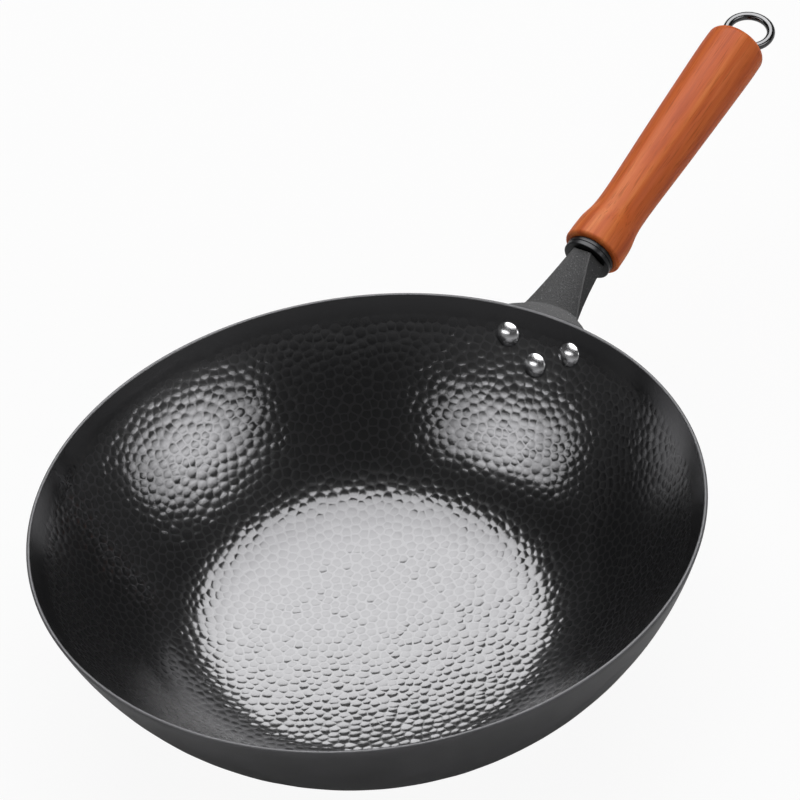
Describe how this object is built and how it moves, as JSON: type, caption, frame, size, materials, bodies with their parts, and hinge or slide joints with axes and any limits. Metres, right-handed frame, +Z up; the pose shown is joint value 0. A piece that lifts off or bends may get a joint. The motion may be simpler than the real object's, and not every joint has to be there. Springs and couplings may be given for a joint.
{
  "type": "flat-based wok",
  "caption": "Flat-based hammered iron wok with a riveted cast bracket, a turned wooden grip and a hinged hanging ring.",
  "frame": {"origin": "centre of the underside of the flat base", "axes": "+Z up out of the bowl, +X from the bowl's centre towards the handle, +Y to the left of the handle seen from the bowl"},
  "size_m": [0.5255, 0.32, 0.1333],
  "materials": {
    "iron": "black satin, hammered",
    "casting": "matt dark grey, as cast",
    "polished": "polished",
    "blackened": "black semi-gloss",
    "wood": "reddish brown satin lacquer",
    "steel": "plain",
    "smoked": "polished, dark"
  },
  "bodies": {
    "wok": {"wok_bowl": "iron", "handle_bracket": "casting", "rivet_upper_left": "polished", "rivet_upper_right": "polished", "rivet_lower": "polished", "ferrule_collar": "blackened", "handle_grip": "wood", "tie_rod": "steel", "end_washer": "steel"},
    "ring": {"hanging_ring": "smoked"}
  },
  "joints": [
    {"name": "ring_swing", "type": "hinge", "parent": "wok", "child": "ring", "pos_m": [0.34188, 0, 0.11912], "axis": [0.0289, -0.9866, -0.1607], "range_deg": [-31, 48]}
  ]
}
